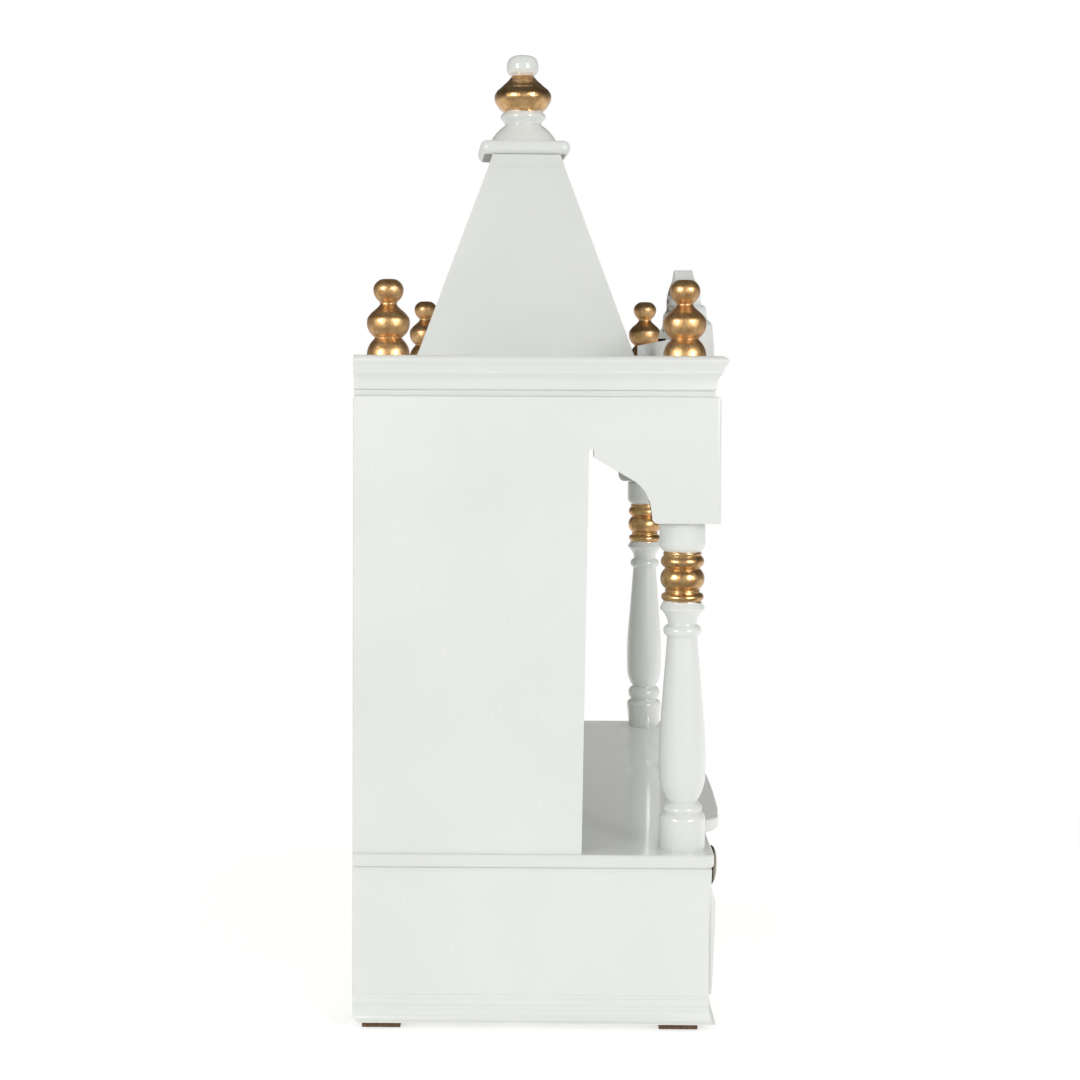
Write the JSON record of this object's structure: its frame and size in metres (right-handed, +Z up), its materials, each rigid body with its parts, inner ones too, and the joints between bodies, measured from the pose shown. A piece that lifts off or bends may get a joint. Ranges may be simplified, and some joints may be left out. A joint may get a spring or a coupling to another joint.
{
  "type": "wall-mounted home shrine",
  "caption": "White lacquered home shrine with turned columns, an arched front, a plinth drawer, corner finials and a four-sided spire under a gold pot finial.",
  "frame": {"origin": "centre of the overall bounding box, on the floor under the four foot blocks", "axes": "+Z up; the front with the drawer faces -Y; the wall side faces +Y; +X is the right-hand side seen from the front"},
  "size_m": [0.6068, 0.3196, 0.8243],
  "materials": {
    "white_lacquer": "glossy white lacquer on board",
    "raw_board": "raw brown board",
    "column_paint": "glossy white lacquer with satin gold bands on turned wood",
    "gold_paint": "satin gold paint on turned wood",
    "kalash_paint": "white lacquer and satin gold paint on turned wood",
    "dark_metal": "dark antique metal"
  },
  "bodies": {
    "case": {"foot_rear_left": "raw_board", "foot_rear_right": "raw_board", "foot_front_left": "raw_board", "foot_front_right": "raw_board", "base_moulding_front": "white_lacquer", "base_moulding_left": "white_lacquer", "base_moulding_right": "white_lacquer", "plinth_bottom": "white_lacquer", "plinth_left_side": "white_lacquer", "plinth_right_side": "white_lacquer", "plinth_back": "white_lacquer", "plinth_top_rail": "white_lacquer", "plinth_top": "white_lacquer", "left_side_panel": "white_lacquer", "right_side_panel": "white_lacquer", "back_panel": "white_lacquer", "front_arch": "white_lacquer", "left_column": "column_paint", "right_column": "column_paint", "ceiling_board": "white_lacquer", "roof_board": "white_lacquer", "roof_back_rail": "white_lacquer", "cornice_front": "white_lacquer", "cornice_left": "white_lacquer", "cornice_right": "white_lacquer", "spire_front": "white_lacquer", "spire_back": "white_lacquer", "spire_left": "white_lacquer", "spire_right": "white_lacquer", "spire_cap": "white_lacquer", "kalash": "kalash_paint", "finial_rear_left": "gold_paint", "finial_rear_right": "gold_paint", "finial_front_left": "gold_paint", "finial_front_right": "gold_paint", "crest": "white_lacquer", "crest_batten": "white_lacquer"},
    "drawer": {"drawer_front": "white_lacquer", "drawer_left_side": "white_lacquer", "drawer_right_side": "white_lacquer", "drawer_back": "white_lacquer", "drawer_bottom": "white_lacquer", "drawer_knob": "dark_metal"}
  },
  "joints": [
    {"name": "drawer_slide", "type": "slide", "parent": "case", "child": "drawer", "axis": [0, -1, 0], "range_m": [0, 0.2]}
  ]
}
